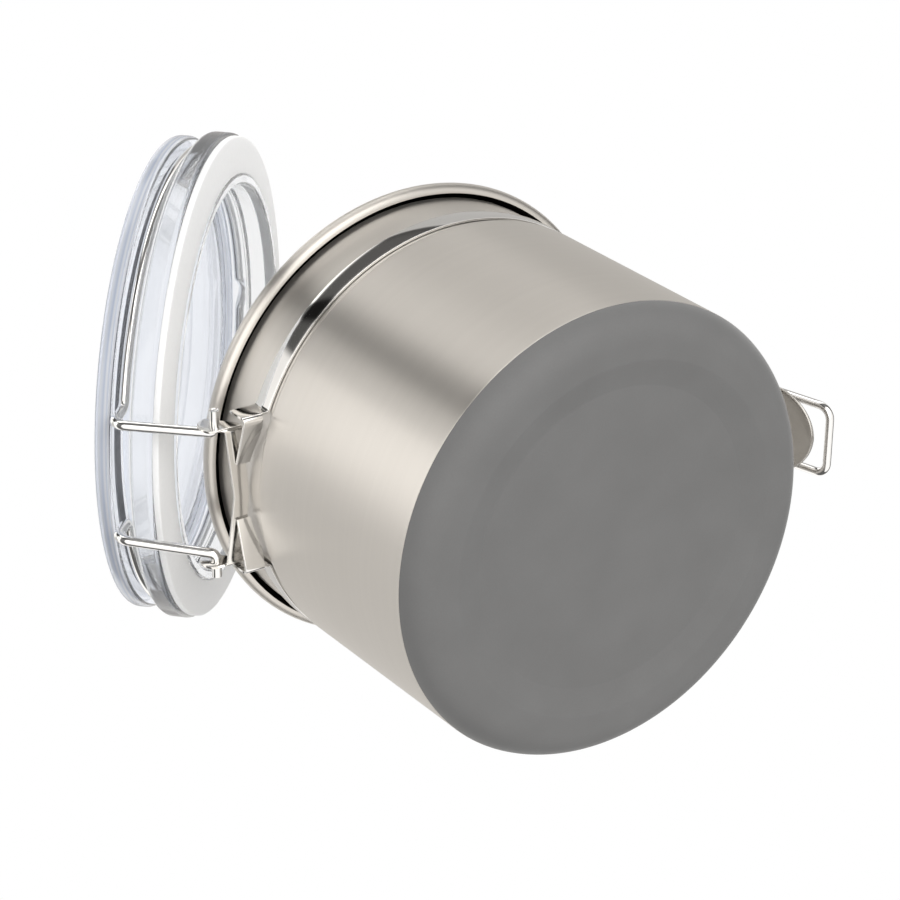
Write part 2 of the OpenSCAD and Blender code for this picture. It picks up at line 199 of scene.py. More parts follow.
# A bent sheet: centre + across w + normal t, where (w, t) goes round a flat section with rounded edges.
def sheetStrip(name, centres, across, normal, halfWidth, halfThick, edge=0.14, columns=2):
    n = len(centres)
    halfWidth = np.broadcast_to(halfWidth, n).astype(float)
    a = np.radians(np.linspace(0, 90, 4))
    flat = np.linspace(1, -1, columns + 1)[1:-1]
    signW = np.concatenate([np.ones(4), flat, -np.ones(4), -np.ones(4), -flat, np.ones(4)])
    signT = np.concatenate([np.ones(4 + len(flat) + 4), -np.ones(4 + len(flat) + 4)])
    cosA = np.concatenate([np.cos(a), 0 * flat, np.cos(a + np.pi / 2), np.cos(a + np.pi), 0 * flat,
                           np.cos(a + 1.5 * np.pi)])
    sinA = np.concatenate([np.sin(a), 0 * flat + 1, np.sin(a + np.pi / 2), np.sin(a + np.pi), 0 * flat - 1,
                           np.sin(a + 1.5 * np.pi)])
    soft = np.minimum(edge, halfWidth)[:, None]
    w = signW * (halfWidth[:, None] - soft) + cosA * soft
    t = signT * (halfThick - edge) + sinA * edge
    points = centres[:, None] + across[:, None] * w[..., None] + normal[:, None] * t[..., None]
    caps = [np.broadcast_to(points[k].mean(0), points[k].shape)[None] for k in (0, -1)]
    points = np.concatenate([caps[0], points, caps[1]])
    along = lengths(np.vstack([centres[:1], centres, centres[-1:]])) * mm * 10
    around = np.arange(points.shape[1] + 1) / points.shape[1]
    return meshFromGrid(name, points, along, around, closeV=True)


# Turns every face outwards, for a shell whose path ran either way.
def outwardNormals(piece):
    whole = bmesh.new()
    whole.from_mesh(piece.data)
    bmesh.ops.recalc_face_normals(whole, faces=whole.faces)
    whole.to_mesh(piece.data)
    whole.free()
    return piece


# node trees: a short way to write shaders

class Nodes:
    def __init__(self, tree, keep=False):
        self.tree = tree
        if not keep:
            tree.nodes.clear()

    def add(self, kind, settings=None, **inputs):
        node = self.tree.nodes.new("ShaderNode" + kind)
        for key, value in (settings or {}).items():
            setattr(node, key, value)
        for key, value in inputs.items():
            self.feed(node, key.replace("_", " "), value)
        return node

    def feed(self, node, key, value):
        socket = node.inputs[int(key[1:])] if key[0] == "i" and key[1:].isdigit() else node.inputs[key]
        if isinstance(value, tuple) and len(value) == 2 and hasattr(value[0], "outputs"):
            self.tree.links.new(value[0].outputs[value[1]], socket)
        elif hasattr(value, "outputs"):
            self.tree.links.new(value.outputs[0], socket)
        elif isinstance(value, tuple) and len(value) == 3 and socket.type == "RGBA":
            socket.default_value = (*value, 1)
        else:
            socket.default_value = value

    def math(self, operation, a, b=0.0):
        return self.add("Math", {"operation": operation}, i0=a, i1=b)

    def ramp(self, factor, stops):
        node = self.add("ValToRGB", i0=factor)
        band = node.color_ramp
        while len(band.elements) < len(stops):
            band.elements.new(0.5)
        for element, (place, colour) in zip(band.elements, stops):
            element.position = place
            element.color = (*colour, 1)
        return node


# An empty material with one surface shader.
def material(name):
    result = bpy.data.materials.new(name)
    result.use_nodes = True
    n = Nodes(result.node_tree)
    out = n.add("OutputMaterial")
    shader = n.add("BsdfPrincipled")
    n.feed(out, "Surface", shader)
    return result, n, shader


def put(piece, surface):
    piece.data.materials.clear()
    piece.data.materials.append(surface)


# the fine lines that brushing leaves in the jar and the lever
brushing = {
    "jarColour": (0.66, 0.635, 0.60),
    "leverColour": (0.60, 0.585, 0.56),
    "darker": 0.93,
    "lighter": 1.09,
    "roughness": 0.31,
    "roughnessChange": 0.10,
    "anisotropy": 0.8,
    "lines": 420.0,
    "lineLength": 1.2,
    "lineDepth": 0.000012,
    "fineShare": 0.10,
    "broadShare": 0.08,
}


# Painted shade in the hollow inside the rolled rim: darkens it nearly to black where the distance to the roll's middle
# circle is less than the curl's radius less half the sheet.
def rimShade(n, colour):
    place = n.add("SeparateXYZ", Vector=(n.add("TexCoord"), "Object"))
    radius = n.math("SQRT", n.math("ADD", n.math("POWER", (place, "X"), 2.0), n.math("POWER", (place, "Y"), 2.0)))
    across = n.math("SUBTRACT", radius, (jar["neck"] - jar["sheet"] + jar["curl"]) * mm)
    upward = n.math("SUBTRACT", (place, "Z"), (jar["rim"] - jar["curl"]) * mm)
    off = n.math("SQRT", n.math("ADD", n.math("MULTIPLY", across, across), n.math("MULTIPLY", upward, upward)))
    inside = n.math("LESS_THAN", off, (jar["curl"] - jar["sheet"] / 2) * mm)
    return n.add("Mix", {"data_type": "RGBA", "blend_type": "MIX"}, i0=inside, i6=colour, i7=(0.015, 0.014, 0.013))


# Steel with fine lines along one way of the UV map: noise drawn out along the lines shifts tone, gloss and height.
def brushedSteel(name, colour, turn, linesAlongU):
    b = brushing
    result, n, shader = material(name)
    uv = n.add("UVMap", {"uv_map": "surface"})
    along, across = b["lineLength"], b["lines"]
    fineScale = (along, across, 1.0) if linesAlongU else (across, along, 1.0)
    broadScale = (along * 3, across * 0.1, 1.0) if linesAlongU else (across * 0.1, along * 3, 1.0)
    fineLines = n.add("Mapping", Vector=uv, Scale=fineScale)
    broadLines = n.add("Mapping", Vector=uv, Scale=broadScale)
    fine = n.add("TexNoise", Vector=fineLines, Scale=1.0, Detail=5.0, Roughness=0.65)
    broad = n.add("TexNoise", Vector=broadLines, Scale=1.0, Detail=3.0)
    tone = n.math("ADD", n.math("MULTIPLY", fine, b["fineShare"]), n.math("MULTIPLY", broad, b["broadShare"]))
    dark = tuple(c * b["darker"] for c in colour)
    light = tuple(min(1.0, c * b["lighter"]) for c in colour)
    n.feed(shader, "Base Color", n.ramp(n.math("ADD", tone, 0.41), [(0.38, dark), (0.62, light)]))
    rough = n.math("ADD", n.math("MULTIPLY", fine, b["roughnessChange"]), b["roughness"])
    n.feed(shader, "Roughness", rough)
    shader.inputs["Metallic"].default_value = 1.0
    shader.inputs["Anisotropic"].default_value = b["anisotropy"]
    shader.inputs["Anisotropic Rotation"].default_value = turn
    n.feed(shader, "Tangent", n.add("Tangent", {"direction_type": "UV_MAP", "uv_map": "surface"}))
    n.feed(shader, "Normal", n.add("Bump", Strength=0.35, Distance=b["lineDepth"], Height=fine))
    return result


# Bright sheet or wire: nearly a mirror, with a slow wave and faint smears.
def polishedSteel(name, colour, roughness, waviness=0.05):
    result, n, shader = material(name)
    place = n.add("TexCoord")
    smear = n.add("TexNoise", Vector=(place, "Object"), Scale=160.0, Detail=4.0)
    wave = n.add("TexNoise", Vector=(place, "Object"), Scale=90.0, Detail=1.0)
    shader.inputs["Base Color"].default_value = (*colour, 1)
    n.feed(shader, "Roughness", n.math("ADD", n.math("MULTIPLY", smear, 0.06), roughness))
    shader.inputs["Metallic"].default_value = 1.0
    n.feed(shader, "Normal", n.add("Bump", Strength=waviness, Distance=0.0004, Height=wave))
    return result


# Matte grey silicone: fine grain, a slow mottle, and a soft sheen.
def siliconeBoot():
    result, n, shader = material("boot silicone")
    place = n.add("TexCoord")
    grain = n.add("TexNoise", Vector=(place, "Object"), Scale=2600.0, Detail=3.0)
    mottle = n.add("TexNoise", Vector=(place, "Object"), Scale=60.0, Detail=4.0)
    tone = n.math("ADD", n.math("MULTIPLY", grain, 0.35), n.math("MULTIPLY", mottle, 0.65))
    n.feed(shader, "Base Color", n.ramp(tone, [(0.3, (0.133, 0.132, 0.130)), (0.7, (0.154, 0.153, 0.151))]))
    shader.inputs["Roughness"].default_value = 0.55
    shader.inputs["Specular IOR Level"].default_value = 0.35
    shader.inputs["Sheen Weight"].default_value = 0.15
    shader.inputs["Sheen Roughness"].default_value = 0.5
    n.feed(shader, "Normal", n.add("Bump", Strength=0.15, Distance=0.0001, Height=grain))
    return result


# How far a place is along the open lid's own axis: its dot product with (0, sin open, cos open).
def alongLidAxis(n, place):
    a = np.radians(lid["open"])
    axis = (0.0, np.sin(a), np.cos(a))
    return n.add("VectorMath", {"operation": "DOT_PRODUCT"}, i0=(place, "Object"), i1=axis), "Value"


# Clear moulded plastic with a faint blue towards its top and slow flow marks.
def clearAcrylic():
    result, n, shader = material("clear acrylic")
    place = n.add("TexCoord")
    flow = n.add("TexNoise", Vector=(place, "Object"), Scale=45.0, Detail=1.0)
    height = n.math("DIVIDE", n.math("SUBTRACT", alongLidAxis(n, place), lid["tintFrom"]), lid["tintOver"])
    tints = [(0.0, (0.975, 0.975, 0.965)), (0.55, (0.97, 0.975, 0.98)), (0.8, (0.90, 0.93, 1.0))]
    n.feed(shader, "Base Color", n.ramp(height, tints))
    shader.inputs["Roughness"].default_value = 0.015
    shader.inputs["IOR"].default_value = 1.36
    shader.inputs["Transmission Weight"].default_value = 0.93
    n.feed(shader, "Normal", n.add("Bump", Strength=0.04, Distance=0.0005, Height=flow))
    return result


# The same plastic at its moulded outer edge, where light from inside gathers: pale blue and softly frosted.
def mouldedEdge():
    result, n, shader = material("acrylic edge")
    place = n.add("TexCoord")
    flow = n.add("TexNoise", Vector=(place, "Object"), Scale=120.0, Detail=2.0)
    lines = n.add("TexNoise", {"noise_dimensions": "1D"}, W=alongLidAxis(n, place), Scale=1100.0, Detail=2.0)
    tints = [(0.3, (0.66, 0.73, 0.88)), (0.5, (0.84, 0.88, 0.97)), (0.7, (0.93, 0.95, 1.0))]
    n.feed(shader, "Base Color", n.ramp(lines, tints))
    shader.inputs["Roughness"].default_value = 0.12
    shader.inputs["IOR"].default_value = 1.49
    shader.inputs["Transmission Weight"].default_value = 0.5
    n.feed(shader, "Normal", n.add("Bump", Strength=0.04, Distance=0.0005, Height=flow))
    return result


# Milky silicone: lets soft light through, with a fine even grain.
def milkySeal():
    result, n, shader = material("seal silicone")
    place = n.add("TexCoord")
    grain = n.add("TexNoise", Vector=(place, "Object"), Scale=900.0, Detail=3.0)
    n.feed(shader, "Base Color", n.ramp(grain, [(0.3, (0.94, 0.94, 0.93)), (0.7, (0.97, 0.97, 0.96))]))
    shader.inputs["Roughness"].default_value = 0.42
    shader.inputs["IOR"].default_value = 1.41
    shader.inputs["Transmission Weight"].default_value = 0.05
    shader.inputs["Subsurface Weight"].default_value = 0.5
    shader.inputs["Subsurface Radius"].default_value = (1.0, 1.0, 1.0)
    shader.inputs["Subsurface Scale"].default_value = 0.003
    n.feed(shader, "Normal", n.add("Bump", Strength=0.1, Distance=0.00005, Height=grain))
    return result


# the jar: a drawn steel sheet, from its floor's middle up the outside, round the rolled rim and down the inside
jar = {
    "wall": 60.0,
    "sheet": 0.6,
    "floor": 3.3,
    "bootTop": 6.35,
    "bootStep": 58.5,
    "shoulder": 68.0,
    "shoulderRound": 1.0,
    "neck": 59.2,
    "neckStart": 69.6,
    "rim": 92.7,
    "curl": 2.1,
}


def makeJar():
    j = jar
    inner = j["neck"] - j["sheet"]
    centre = np.array([inner + j["curl"], j["rim"] - j["curl"]])
    lower = j["bootTop"] - 0.05 - j["floor"]
    outside = rounded([(0, j["floor"]), (j["bootStep"], j["floor"]), (j["bootStep"], j["bootTop"]),
                       (j["wall"], j["bootTop"]), (j["wall"], j["shoulder"] + 0.35), (j["neck"], j["neckStart"]),
                       (j["neck"], centre[1])],
                      [0, lower, 0, 0.15, j["shoulderRound"], 0.6, 0])
    a = np.radians(np.linspace(180, -90, 28))
    hollow = centre + (j["curl"] - j["sheet"]) * np.stack([np.cos(a), np.sin(a)], 1)
    a = np.radians(np.linspace(-90, 180, 46))
    crown = centre + j["curl"] * np.stack([np.cos(a), np.sin(a)], 1)
    t = j["sheet"]
    inside = rounded([(inner, centre[1]), (inner, j["neckStart"] - 0.2), (j["wall"] - t, j["shoulder"] - 0.2),
                      (j["wall"] - t, j["bootTop"] + t), (j["bootStep"] - t, j["bootTop"] + t),
                      (j["bootStep"] - t, j["floor"] + t), (0, j["floor"] + t)],
                     [0, 1.2, 0.6, 0.6, 0.1, lower - t, 0])
    profile = stack(outside[:-1], hollow, crown, inside[1:])
    piece = lathe("jar", profile)
    steel = brushedSteel("jar steel", brushing["jarColour"], 0.25, True)
    n = Nodes(steel.node_tree, keep=True)
    shader = steel.node_tree.nodes["Principled BSDF"]
    colour = shader.inputs["Base Color"].links[0].from_node
    # the base colour gets painted shade in the rim's hollow
    n.feed(shader, "Base Color", (rimShade(n, colour), 2))
    put(piece, steel)
    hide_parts("canister_body")
    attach(piece, "canister")
    print("jar made")


# the boot: its recess, the flat it stands on, the rounded corner and the lip against the wall
boot = {
    "recess": 40.0,
    "recessHeight": 2.0,
    "foot": 47.1,
    "cornerCentre": (51.5, 8.8),
    "cornerRadius": 8.8,
    "top": 6.3,
    "inside": 58.55,
    "floor": 3.25,
}


def makeBoot():
    b = boot
    c, r = np.array(b["cornerCentre"]), b["cornerRadius"]
    end = -np.degrees(np.arcsin((c[1] - b["top"] + 0.12) / r))
    a = np.radians(np.linspace(-90, end, 26))
    corner = c + r * np.stack([np.cos(a), np.sin(a)], 1)
    below = rounded([(0, b["recessHeight"]), (b["recess"], b["recessHeight"]), (b["foot"], 0), tuple(corner[0])],
                    [0, 1.2, 1.6, 0])
    lip = rounded([corner[-1], (corner[-1][0] + 0.02, b["top"]), (b["inside"], b["top"]), (b["inside"], b["floor"]),
                   (0, b["floor"])],
                  [0, 0.08, 0.08, 3.0, 0])
    piece = lathe("boot", stack(below[:-1], corner, lip[1:]))
    put(piece, siliconeBoot())
    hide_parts("base_boot")
    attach(piece, "canister")
    print("boot made")


# the strap: a polished band with turned-out ends that fold in under the hinge bracket
strap = {
    "radius": 59.675,
    "sheet": 0.65,
    "low": 70.5,
    "high": 76.2,
    "endX": 21.275,
    "reach": 63.6,
    "bend": 1.2,
    "foldLow": 69.6,
    "fold": 0.9,
    "hookTip": (7.7, 73.65),
    "hookWidth": 5.6,
}


def makeStrap():
    s = strap
    t = s["sheet"] / 2
    height, middle = (s["high"] - s["low"]) / 2, (s["high"] + s["low"]) / 2
    meet = np.degrees(np.arccos(s["endX"] / s["radius"]))
    corner = s["radius"] * np.array([np.cos(np.radians(meet)), np.sin(np.radians(meet))])
    out = np.array([s["endX"], s["reach"]])
    a = np.radians(np.linspace(meet - 2.5, -180 - meet + 2.5, 280))
    ring = s["radius"] * np.stack([np.cos(a), np.sin(a)], 1)
    bend = rounded([out, corner, ring[0]], [0, s["bend"], 0])
    plan = stack(bend[:-1], ring, bend[:-1][::-1] * (-1, 1))
    centres = spaced(np.column_stack([plan, np.full(len(plan), middle)]), 2.0)
    up = np.broadcast_to((0.0, 0.0, 1.0), centres.shape)
    parts = [outwardNormals(sheetStrip("band", centres, up, np.cross(tangents(centres), up), height, t))]
    for side in (1, -1):
        fold = rounded([(side * (s["endX"] - 0.01), s["low"] + 0.5), (side * (s["endX"] - 0.01), s["foldLow"]),
                        (side * (s["endX"] - 1.7), s["foldLow"] + 0.25), (side * s["hookTip"][0], s["hookTip"][1])],
                       [0, s["fold"], s["fold"], 0], step=12)
        middleY = np.full(len(fold), s["reach"] - s["hookWidth"] / 2)
        fold = spaced(np.column_stack([fold[:, 0], middleY, fold[:, 1]]), 1.2)
        near = np.sqrt(np.maximum((s["radius"] + 0.35) ** 2 - fold[:, 0] ** 2, 0)) + 0.15
        inner = np.maximum(near, s["reach"] - s["hookWidth"])
        fold[:, 1] = (s["reach"] + inner) / 2
        across = np.broadcast_to((0.0, 1.0, 0.0), fold.shape)
        flat = fold * (1, 0, 1)
        hook = sheetStrip("hook", fold, across, np.cross(tangents(flat), across), (s["reach"] - inner) / 2, t)
        parts.append(outwardNormals(hook))
    piece = joinPieces("strap", parts)
    put(piece, polishedSteel("strap steel", (0.80, 0.795, 0.785), 0.045))
    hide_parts("neck_strap")
    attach(piece, "canister")
    print("strap made")


# the hinge bracket: a chevron strip whose ends turn up into two ears
hinge = {
    "y": 66.9,
    "z": 78.35,
    "earX": 18.825,
    "earRadius": 4.3,
    "earFoot": 61.25,
    "sheet": 0.65,
    "side": 1.5,
    "webIn": 61.25,
    "webOut": 66.25,
    "dipIn": 1.75,
    "dipOut": 2.4,
    "bend": 0.8,
}


# A strip along a line (x, z) that turns up at both ends. It reaches from inner to outer in Y: a shallow V along the
# web, and a rounded ear, y + sqrt(r^2 - (z - z0)^2), at each end.
def makeHinge():
    h = hinge
    low = h["z"] - h["earRadius"] + h["sheet"] / 2
    top = h["z"] + h["earRadius"] - 0.02
    line = rounded([(-h["earX"], top), (-h["earX"], low), (h["earX"], low), (h["earX"], top)],
                   [0, h["bend"], h["bend"], 0])
    line = spaced(line, 0.25)
    x, z = line[:, 0], line[:, 1]
    onEar = np.clip((z - low) / h["bend"], 0, 1)
    middle = 1 - np.abs(x) / h["earX"]
    webIn, webOut = h["webIn"] - h["dipIn"] * middle, h["webOut"] - h["dipOut"] * middle
    rise = np.clip((z - h["z"]) / h["earRadius"], -1, 1)
    earOut = h["y"] + h["earRadius"] * np.sqrt(1 - rise ** 2)
    slope = h["z"] - h["earRadius"] / 2
    earIn = h["earFoot"] + np.maximum(z - slope, 0) / (top - slope) * (h["y"] - h["earFoot"])
    inner = webIn * (1 - onEar) + earIn * onEar
    outer = webOut * (1 - onEar) + np.maximum(earOut, webOut) * onEar
    centres = np.column_stack([x + h["side"], (inner + outer) / 2, z])
    across = np.broadcast_to((0.0, 1.0, 0.0), centres.shape)
    normal = np.cross(tangents(centres * (1, 0, 1)), across)
    piece = outwardNormals(sheetStrip("hingeBracket", centres, across, normal, (outer - inner) / 2, h["sheet"] / 2))
    put(piece, polishedSteel("bracket steel", (0.78, 0.765, 0.74), 0.10))
    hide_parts("hinge_bracket")
    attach(piece, "canister")
    print("hinge bracket made")


# the lid: its parts are drawn in their shut place and then turned about the hinge
lid = {
    "open": 44.5,
    "topRadius": 63.8,
    "lowRadius": 65.5,
    "low": 95.3,
    "groove": 101.4,
    "flange": 106.6,
    "top": 110.9,
    "grooveFloor": 59.3,
    "edge": 1.4,
    "edgeBand": 0.5,
    "lip": 54.75,
    "lipLow": 91.86,
    "hollow": 52.25,
    "ceiling": 107.0,
    "sealIn": 54.8,
    "sealOut": 64.8,
    "sealInLow": 92.16,
    "sealOutLow": 93.56,
    "tintFrom": 0.115,
    "tintOver": 0.022,
}


# Turns a piece of the shut lid about the hinge by a, to where the lid stands open: y cos a + z sin a and
# z cos a - y sin a.
def openPiece(piece):
    a = np.radians(lid["open"])
    points = np.empty(len(piece.data.vertices) * 3)
    piece.data.vertices.foreach_get("co", points)
    x, y, z = (points.reshape(-1, 3) / mm).T
    y, z = y - hinge["y"], z - hinge["z"]
    openY, openZ = y * np.cos(a) + z * np.sin(a), z * np.cos(a) - y * np.sin(a)
    turned = np.stack([x, hinge["y"] + openY, hinge["z"] + openZ], 1)
    piece.data.vertices.foreach_set("co", (turned * mm).ravel())
    piece.data.update()
    return piece


def makeLidCap():
    d = lid
    e = d["edge"]
    profile = rounded([(0, d["ceiling"]), (d["hollow"], d["ceiling"]), (d["hollow"], d["lipLow"]),
                       (d["lip"], d["lipLow"]), (d["lip"], d["low"]), (d["lowRadius"], d["low"]),
                       (d["lowRadius"], d["groove"]),
                       (d["grooveFloor"], d["groove"]), (d["grooveFloor"], d["flange"]), (d["topRadius"], d["flange"]),
                       (d["topRadius"], d["top"]), (0, d["top"])],
                      [0, 2.2, 0.6, 0.6, 0.3, e, e, 0.5, 0.5, e, e, 0])
    piece = lathe("lidCap", profile, turns=320, gap=3.0)
    # the upper flange's outer edge: faces that lie above the groove and nearly as far out as the flange goes
    middle = np.empty(len(piece.data.polygons) * 3)
    piece.data.polygons.foreach_get("center", middle)
    middle = middle.reshape(-1, 3) / mm
    outside = np.hypot(middle[:, 0], middle[:, 1]) > d["topRadius"] - d["edgeBand"]
    edge = outside & (middle[:, 2] > d["flange"] - 0.01)
    openPiece(piece)
    put(piece, clearAcrylic())
    piece.data.materials.append(mouldedEdge())
    piece.data.polygons.foreach_set("material_index", edge.astype(np.int32))
    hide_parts("lid_cap")
    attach(piece, "lid")
    print("lid cap made")


def makeSeal():
    d = lid
    top = d["low"] - 0.05
    profile = rounded([(d["sealIn"], d["sealInLow"]), (d["sealOut"], d["sealOutLow"]), (d["sealOut"], top),
                       (d["sealIn"], top)],
                      [0.35, 0.5, 0.3, 0.2], closed=True)
    piece = openPiece(lathe("seal", profile, turns=320, closed=True))
    put(piece, milkySeal())
    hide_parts("lid_seal")
    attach(piece, "lid")
    print("seal made")


# the bail: a wire round the lid's groove, with a catch at its front and two legs to the ears
bail = {
    "radius": 1.3,
    "ring": 60.65,
    "height": 104.0,
    "leaveAngle": 20.0,
    "legX": 16.0,
    "legOut": 2.1,
    "foot": 16.89,
    "stub": 4.0,
    "bend": 3.0,
    "tight": 1.56,
    "catchWidth": 5.0,
    "catchOut": 5.6,
}


def makeBail():
    b = bail
    r, z = b["ring"], b["height"]
    frontAngle = np.degrees(np.arcsin((b["catchWidth"] + b["bend"]) / r))
    halves = []
    for side in (1, -1):
        a = np.radians(np.linspace(-90 + frontAngle, 90 - b["leaveAngle"], 150))
        ring = np.stack([r * np.cos(a), r * np.sin(a), np.full(a.shape, z)], 1)
        end, leave = ring[-1], np.radians(b["leaveAngle"])
        turnIn = end + np.array([-np.cos(leave), np.sin(leave), 0]) * (end[0] - b["legX"]) / np.cos(leave)
        shift = side * hinge["side"]
        foot = (b["foot"] + shift, hinge["y"], hinge["z"])
        leg = rounded([end, turnIn, (b["legX"], hinge["y"] + b["legOut"], z), foot,
                       (hinge["earX"] + 0.325 + shift + b["stub"], hinge["y"], hinge["z"])],
                      [0, b["bend"], b["bend"], b["tight"], 0], step=8)
        halves.append(stack(ring, leg[1:]) * (side, 1, 1))
    start = halves[0][0]
    ahead = unit(halves[0][1] - start)
    knee = start - ahead * b["bend"] / abs(ahead[0])
    catch = rounded([halves[1][0], knee * (-1, 1, 1), (0, -r - b["catchOut"], z), knee, start],
                    [0, b["tight"], b["tight"], b["tight"], 0], step=8)
    path = stack(halves[1][::-1], catch[1:-1], halves[0])
    piece = openPiece(tube("bailWire", path, b["radius"]))
    put(outwardNormals(piece), polishedSteel("wire steel", (0.80, 0.80, 0.80), 0.09, 0.02))
    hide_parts("lid_bail")
    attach(piece, "lid")
    print("bail made")


# the clasp: a lever pressed from sheet, and the wire loop that hangs in its cheeks
clasp = {
    "pin": (-68.5, 73.35),
    "face": 3.6,
    "sheet": 0.8,
    "round": 2.8,
    "halfWidth": 7.0,
    "paddle": 12.0,
    "length": 54.5,
    "flare": 6.0,
    "flareLength": 28.0,
    "flarePower": 1.5,
    "wideFrom": 38.5,
    "wideRise": 3.5,
    "spoon": 1.0,
    "spoonFrom": 34.0,
    "spoonOver": 10.0,
    "bend": 1.0,
    "channelEnd": 27.3,
    "bendFrom": 27.0,
    "bendOver": 6.0,
    "heel": -8.52,
    "loopDrop": 13.6,
    "loopLean": 15.42,
    "loopLength": 45.75,
    "loopHalf": 9.5,
    "loopWire": 1.1,
}


# A place on the clasp, from how far it is outside the pin and below it.
def leverPoint(x, out, down):
    c = clasp
    return np.stack([x + 0 * out, c["pin"][0] - out + 0 * x, c["pin"][1] - down + 0 * x], -1)


# A cheek above the pin: a quarter round about it and a slope down to the face, a little thinner than the cheek
# it sits in.
def cheekTop(name, side):
    c = clasp
    a = np.radians(np.linspace(180, 90, 16))
    out = np.concatenate([[-c["round"]], c["round"] * np.cos(a), [c["face"], c["face"]]])
    down = np.concatenate([[0.6], -c["round"] * np.sin(a), [0.0, 0.6]])
    thin = 0.03
    x0, x1 = c["halfWidth"] - c["sheet"] + thin, c["halfWidth"] - thin
    rows = [leverPoint(side * x + 0 * out, o, d) for x, o, d in
            [(x0, 0 * out, 0 * down), (x0, out, down), (x1, out, down), (x1, 0 * out, 0 * down)]]
    piece = meshFromGrid(name, np.stack(rows), np.array([0.0, 0.03, 0.04, 0.07]), np.arange(len(out) + 1) / len(out),
                         closeV=True, sharp=50)
    return outwardNormals(piece)


# Rows go down the lever. Each is a half section, cheek, bend and face, mirrored, and offset by the sheet's
# thickness.
def makeLever():
    c = clasp
    centre = c["length"] - c["paddle"]
    u = np.concatenate([np.linspace(0, c["wideFrom"], 90), np.linspace(c["wideFrom"], centre, 16)[1:],
                        centre + c["paddle"] * np.sin(np.linspace(0, np.pi / 2, 48)[1:])])[:, None]
    cheek = np.clip((c["bendFrom"] + c["bendOver"] - u) / c["bendOver"], 0, 1)
    widen = np.clip((u - c["wideFrom"]) / c["wideRise"], 0, 1)
    half = c["halfWidth"] + (c["paddle"] - c["halfWidth"]) * widen * widen * (3 - 2 * widen)
    half = np.where(u > centre, np.sqrt(np.maximum(c["paddle"] ** 2 - (u - centre) ** 2, 0.01)), half)
    flare = np.maximum(u - c["length"] + c["flareLength"], 0) / c["flareLength"]
    out = c["face"] + c["flare"] * flare ** c["flarePower"]
    # how far in the cheeks reach: from the pin's round to the heel on the wall, and back to the face
    foot = np.interp(u, [0, 11.2, 12.6, 14.6, 16, c["channelEnd"] - 0.1, c["channelEnd"]],
                     [-c["round"], -8.3, c["heel"], c["heel"], -8.3, c["face"] - 1.0, c["face"]])
    bend = c["bend"] * cheek
    leg = np.maximum(out - foot - bend, 0.0) * (u < c["channelEnd"])
    soft = c["sheet"] / 2 * (cheek + (1 - cheek) * (half > 1))
    edge = half - np.minimum(soft, half * 0.5)
    s = np.linspace(0, 1, 8)[None]
    turn = np.radians(np.linspace(0, 90, 7))[None]
    face = np.linspace(1, 0, 14)[None, 1:]
    x = np.hstack([edge + 0 * s, (edge - bend + bend * np.cos(turn))[:, 1:], (edge - bend) * face])
    y = np.hstack([out - bend - leg * (1 - s), (out - bend + bend * np.sin(turn))[:, 1:], out + 0 * face])
    dish = c["spoon"] * np.clip((u - c["spoonFrom"]) / c["spoonOver"], 0, 1) * (half / c["paddle"]) ** 2
    y = y + dish * (0.5 - (x / half) ** 2)
    nx = np.hstack([1 + 0 * s, np.cos(turn[:, 1:]), 0 * face]) * c["sheet"] / 2
    ny = np.hstack([0 * s, np.sin(turn[:, 1:]), 1 + 0 * face]) * c["sheet"] / 2
    nx = np.minimum(nx, np.minimum(soft, half * 0.5))
    outer = np.stack([x + nx, y + ny], 2)
    inner = np.stack([x + nx * (1 - 2 * cheek), y - ny], 2)
    mirror = np.array([-1.0, 1.0])
    section = np.concatenate([outer, outer[:, -2::-1] * mirror, inner[:, :-1] * mirror, inner[:, ::-1]], 1)
    points = leverPoint(section[..., 0], section[..., 1], u + 0 * section[..., 0])
    ends = [(points[k] + points[k][::-1]) / 2 for k in (0, -1)]
    points = np.concatenate([ends[0][None], points, ends[1][None]])
    along = lengths(np.hstack([out, u])) * mm * 10
    along = np.concatenate([along[:1], along, along[-1:]])
    around = np.arange(points.shape[1] + 1) / points.shape[1]
    channel = outwardNormals(meshFromGrid("channel", points, along, around, closeV=True, sharp=50))
    piece = joinPieces("claspLever", [channel, cheekTop("cheekTopA", 1), cheekTop("cheekTopB", -1)], sharp=50)
    put(piece, brushedSteel("lever steel", brushing["leverColour"], 0.0, True))
    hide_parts("clasp_lever")
    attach(piece, "lever")
    print("clasp lever made")


def makeLoop():
    c = clasp
    lean = np.radians(c["loopLean"])
    stub, x, length = c["halfWidth"] - 2 * c["sheet"], c["loopHalf"], c["loopLength"]
    tight, wide = 1.3 * c["loopWire"], 3 * c["loopWire"]
    flat = rounded([(stub, 0), (x, 0), (x, length), (-x, length), (-x, 0), (-stub, 0)],
                   [0, tight, wide, wide, tight, 0], step=8)
    path = leverPoint(flat[:, 0], flat[:, 1] * np.sin(lean), c["loopDrop"] + flat[:, 1] * np.cos(lean))
    piece = outwardNormals(tube("claspLoop", path, c["loopWire"], aside=(0, 1, 0)))
    put(piece, polishedSteel("loop steel", (0.80, 0.80, 0.80), 0.09, 0.02))
    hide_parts("clasp_loop")
    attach(piece, "loop")
    print("clasp loop made")


